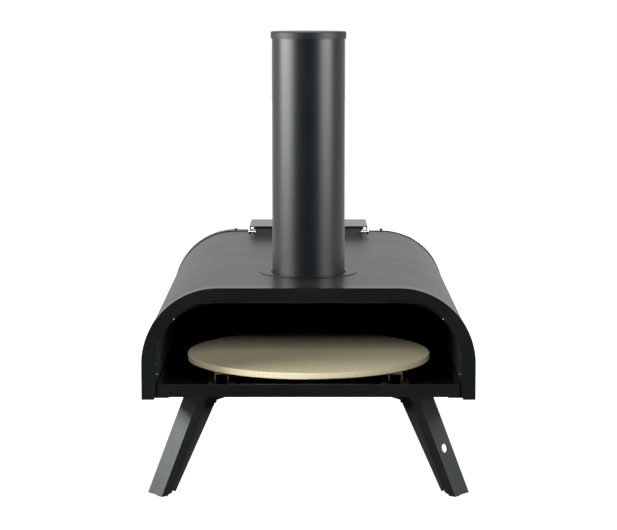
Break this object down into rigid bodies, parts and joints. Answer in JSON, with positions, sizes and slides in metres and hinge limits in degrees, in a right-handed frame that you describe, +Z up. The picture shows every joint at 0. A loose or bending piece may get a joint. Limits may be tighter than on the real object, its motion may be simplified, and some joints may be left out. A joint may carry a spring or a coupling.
{
  "type": "wood fired pizza oven",
  "caption": "Arched insulated steel pizza oven on folding legs, with a round stone, lift-off chimney and cap, pellet hopper with hinged lid, and a fuel tray that slides out behind.",
  "frame": {"origin": "on the ground, at the centre of the footprint's bounding box", "axes": "+Z up, -Y towards the mouth, +X to the right seen from the front"},
  "size_m": [0.4044, 0.6664, 0.564],
  "materials": {
    "black_powder_coat": "satin black powder coat on folded sheet steel",
    "black_heat_paint": "matt black heat-resisting paint on folded sheet steel",
    "stainless_sheet": "mill-finished stainless sheet",
    "bright_steel": "bright plated steel",
    "black_rubber": "matt moulded rubber",
    "ceramic_fibre": "white ceramic fibre blanket",
    "cordierite": "pressed and fired cordierite, slightly sandy",
    "scaled_steel": "steel with heat scale"
  },
  "bodies": {
    "oven": {"outer_shell": "black_powder_coat", "front_frame": "black_powder_coat", "frame_screws": "bright_steel", "rear_panel": "black_powder_coat", "rear_screws": "black_powder_coat", "inner_liner": "black_heat_paint", "insulation_blanket": "ceramic_fibre", "base_rails": "black_powder_coat", "floor_pan": "black_powder_coat", "stone_rail_left": "stainless_sheet", "stone_rail_right": "stainless_sheet", "rail_rivets": "bright_steel", "chimney_collar": "black_powder_coat", "flue_socket": "stainless_sheet", "hopper_box": "black_powder_coat", "hopper_hinge_ears": "stainless_sheet", "hopper_hinge_pins": "bright_steel", "flame_guard": "black_heat_paint", "tray_guides": "stainless_sheet", "bracket_front_left": "black_powder_coat", "bracket_front_right": "black_powder_coat", "bracket_rear_left": "black_powder_coat", "bracket_rear_right": "black_powder_coat", "pivot_bolts": "bright_steel", "pivot_nuts": "bright_steel", "bracket_rivets": "black_powder_coat"},
    "lid": {"hopper_lid": "black_powder_coat"},
    "tray": {"fuel_tray": "stainless_sheet", "burner_grate": "scaled_steel", "tray_front": "black_powder_coat", "tray_handle": "bright_steel", "handle_nuts": "bright_steel"},
    "chimney": {"chimney_pipe": "black_powder_coat"},
    "cap": {"chimney_cap": "black_powder_coat"},
    "stone": {"pizza_stone": "cordierite"},
    "front_left_leg": {"leg_front_left": "black_powder_coat", "foot_front_left": "black_rubber"},
    "front_right_leg": {"leg_front_right": "black_powder_coat", "foot_front_right": "black_rubber"},
    "rear_left_leg": {"leg_rear_left": "black_powder_coat", "foot_rear_left": "black_rubber"},
    "rear_right_leg": {"leg_rear_right": "black_powder_coat", "foot_rear_right": "black_rubber"}
  },
  "joints": [
    {"name": "lid_hinge", "type": "hinge", "parent": "oven", "child": "lid", "pos_m": [0, 0.18975, 0.27], "axis": [1, 0, 0], "range_deg": [0, 95]},
    {"name": "tray_slide", "type": "slide", "parent": "oven", "child": "tray", "axis": [0, 1, 0], "range_m": [0, 0.13]},
    {"name": "chimney_lift", "type": "slide", "parent": "oven", "child": "chimney", "axis": [0, 0, 1], "range_m": [0, 0.06]},
    {"name": "cap_lift", "type": "slide", "parent": "chimney", "child": "cap", "axis": [0, 0, 1], "range_m": [0, 0.04]},
    {"name": "stone_slide", "type": "slide", "parent": "oven", "child": "stone", "axis": [0, -1, 0], "range_m": [0, 0.33]},
    {"name": "front_left_fold", "type": "hinge", "parent": "oven", "child": "front_left_leg", "pos_m": [0, -0.27375, 0.1232], "axis": [1, 0, 0], "range_deg": [0, 90]},
    {"name": "front_right_fold", "type": "hinge", "parent": "oven", "child": "front_right_leg", "pos_m": [0, -0.27375, 0.1232], "axis": [1, 0, 0], "range_deg": [0, 90]},
    {"name": "rear_left_fold", "type": "hinge", "parent": "oven", "child": "rear_left_leg", "pos_m": [0, 0.22425, 0.1232], "axis": [-1, 0, 0], "range_deg": [0, 90]},
    {"name": "rear_right_fold", "type": "hinge", "parent": "oven", "child": "rear_right_leg", "pos_m": [0, 0.22425, 0.1232], "axis": [-1, 0, 0], "range_deg": [0, 90]}
  ]
}
